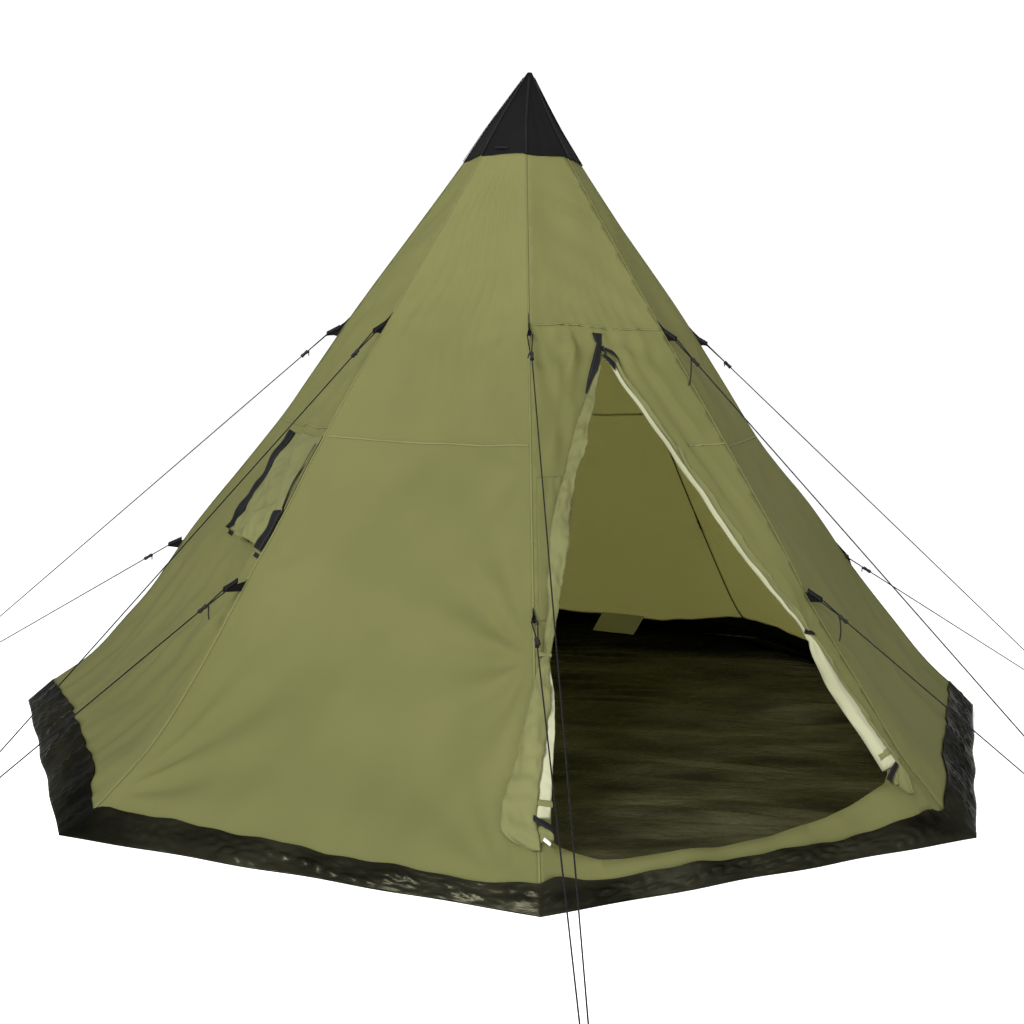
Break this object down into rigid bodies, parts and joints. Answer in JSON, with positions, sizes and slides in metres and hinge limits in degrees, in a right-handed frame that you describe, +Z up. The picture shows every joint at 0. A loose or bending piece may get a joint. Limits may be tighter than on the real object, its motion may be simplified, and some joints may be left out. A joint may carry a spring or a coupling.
{
  "type": "teepee tent",
  "caption": "Eight-sided single-pole teepee tent with sewn-in groundsheet, open rolled-back door, side window flap and guy lines held by pegs",
  "frame": {"origin": "centre of the tent's footprint on the ground", "axes": "+Z up along the pole, -Y through the front ridge beside the door, +X to the door side"},
  "size_m": [4.5834, 4.6788, 2.3658],
  "materials": {
    "green_polyester": "matte woven coated polyester",
    "black_polyester": "matte woven polyester",
    "groundsheet_plastic": "glossy woven plastic sheet",
    "cream_net": "fine net",
    "black_webbing": "matte woven webbing",
    "pole_steel": "thin-walled steel tube, galvanised",
    "peg_steel": "bent steel rod, galvanised",
    "guy_cord": "braided cord",
    "black_plastic": "moulded"
  },
  "bodies": {
    "tent": {"wall_door": "green_polyester", "wall_right_front": "green_polyester", "wall_right_back": "green_polyester", "wall_back_right": "green_polyester", "wall_back_left": "green_polyester", "wall_left_back": "green_polyester", "wall_window": "green_polyester", "wall_front_left": "green_polyester", "apex_cap": "black_polyester", "groundsheet": "groundsheet_plastic", "pole_section_1": "pole_steel", "pole_section_2": "pole_steel", "pole_section_3": "pole_steel", "pole_section_4": "pole_steel", "pole_foot": "black_plastic", "door_net_left": "cream_net", "door_net_right": "cream_net", "door_flap_left": "green_polyester", "door_flap_right": "green_polyester", "door_tie_left": "black_webbing", "door_tie_right": "black_webbing", "door_strap_left": "black_webbing", "door_strap_right": "black_webbing", "window_net": "cream_net", "inner_flap": "green_polyester", "guy_front": "guy_cord", "guy_front_right": "guy_cord", "guy_right": "guy_cord", "guy_back_right": "guy_cord", "guy_back": "guy_cord", "guy_back_left": "guy_cord", "guy_left": "guy_cord", "guy_front_left": "guy_cord", "peg_front": "peg_steel", "peg_front_right": "peg_steel", "peg_right": "peg_steel", "peg_back_right": "peg_steel", "peg_back": "peg_steel", "peg_back_left": "peg_steel", "peg_left": "peg_steel", "peg_front_left": "peg_steel"},
    "window_flap": {"window_flap": "green_polyester"},
    "door_zip_slider": {"door_zip_slider": "black_plastic"},
    "door_zip_pull": {"door_zip_pull": "black_plastic"},
    "slider_front_upper": {"slider_front_upper": "black_plastic"},
    "slider_front_lower": {"slider_front_lower": "black_plastic"},
    "slider_front_right_upper": {"slider_front_right_upper": "black_plastic"},
    "slider_front_right_lower": {"slider_front_right_lower": "black_plastic"},
    "slider_right_upper": {"slider_right_upper": "black_plastic"},
    "slider_right_lower": {"slider_right_lower": "black_plastic"},
    "slider_back_right_upper": {"slider_back_right_upper": "black_plastic"},
    "slider_back_right_lower": {"slider_back_right_lower": "black_plastic"},
    "slider_back_upper": {"slider_back_upper": "black_plastic"},
    "slider_back_lower": {"slider_back_lower": "black_plastic"},
    "slider_back_left_upper": {"slider_back_left_upper": "black_plastic"},
    "slider_back_left_lower": {"slider_back_left_lower": "black_plastic"},
    "slider_left_upper": {"slider_left_upper": "black_plastic"},
    "slider_left_lower": {"slider_left_lower": "black_plastic"},
    "slider_front_left_upper": {"slider_front_left_upper": "black_plastic"},
    "slider_front_left_lower": {"slider_front_left_lower": "black_plastic"}
  },
  "joints": [
    {"name": "window_flap_hinge", "type": "hinge", "parent": "tent", "child": "window_flap", "pos_m": [-0.73577, -0.47579, 1.06102], "axis": [-0.3827, 0.9239, 0], "range_deg": [0, 110]},
    {"name": "door_zip_slide", "type": "slide", "parent": "tent", "child": "door_zip_slider", "axis": [-0.2162, 0.522, 0.8251], "range_m": [0, 0.012]},
    {"name": "door_zip_pull_hinge", "type": "hinge", "parent": "door_zip_slider", "child": "door_zip_pull", "pos_m": [0.24792, -0.60898, 1.36918], "axis": [-0.9239, -0.3827, 0], "range_deg": [0, 120]},
    {"name": "slider_front_upper_slide", "type": "slide", "parent": "tent", "child": "slider_front_upper", "axis": [0.0252, -0.7689, -0.6388], "range_m": [0, 0.1]},
    {"name": "slider_front_lower_slide", "type": "slide", "parent": "tent", "child": "slider_front_lower", "axis": [0.0312, -0.8791, -0.4757], "range_m": [0, 0.1]},
    {"name": "slider_front_right_upper_slide", "type": "slide", "parent": "tent", "child": "slider_front_right_upper", "axis": [0.5298, -0.5253, -0.6658], "range_m": [0, 0.1]},
    {"name": "slider_front_right_lower_slide", "type": "slide", "parent": "tent", "child": "slider_front_right_lower", "axis": [0.5989, -0.6109, -0.5179], "range_m": [0, 0.1]},
    {"name": "slider_right_upper_slide", "type": "slide", "parent": "tent", "child": "slider_right_upper", "axis": [0.7503, 0.0032, -0.6611], "range_m": [0, 0.1]},
    {"name": "slider_right_lower_slide", "type": "slide", "parent": "tent", "child": "slider_right_lower", "axis": [0.8601, -0.0084, -0.5101], "range_m": [0, 0.1]},
    {"name": "slider_back_right_upper_slide", "type": "slide", "parent": "tent", "child": "slider_back_right_upper", "axis": [0.5253, 0.5298, -0.6658], "range_m": [0, 0.1]},
    {"name": "slider_back_right_lower_slide", "type": "slide", "parent": "tent", "child": "slider_back_right_lower", "axis": [0.6109, 0.5989, -0.5179], "range_m": [0, 0.1]},
    {"name": "slider_back_upper_slide", "type": "slide", "parent": "tent", "child": "slider_back_upper", "axis": [-0.0032, 0.7461, -0.6658], "range_m": [0, 0.1]},
    {"name": "slider_back_lower_slide", "type": "slide", "parent": "tent", "child": "slider_back_lower", "axis": [0.0085, 0.8554, -0.5179], "range_m": [0, 0.1]},
    {"name": "slider_back_left_upper_slide", "type": "slide", "parent": "tent", "child": "slider_back_left_upper", "axis": [-0.5298, 0.5253, -0.6658], "range_m": [0, 0.1]},
    {"name": "slider_back_left_lower_slide", "type": "slide", "parent": "tent", "child": "slider_back_left_lower", "axis": [-0.5989, 0.6109, -0.5179], "range_m": [0, 0.1]},
    {"name": "slider_left_upper_slide", "type": "slide", "parent": "tent", "child": "slider_left_upper", "axis": [-0.7461, -0.0032, -0.6658], "range_m": [0, 0.1]},
    {"name": "slider_left_lower_slide", "type": "slide", "parent": "tent", "child": "slider_left_lower", "axis": [-0.8554, 0.0085, -0.5179], "range_m": [0, 0.1]},
    {"name": "slider_front_left_upper_slide", "type": "slide", "parent": "tent", "child": "slider_front_left_upper", "axis": [-0.5253, -0.5298, -0.6658], "range_m": [0, 0.1]},
    {"name": "slider_front_left_lower_slide", "type": "slide", "parent": "tent", "child": "slider_front_left_lower", "axis": [-0.6109, -0.5989, -0.5179], "range_m": [0, 0.1]}
  ]
}
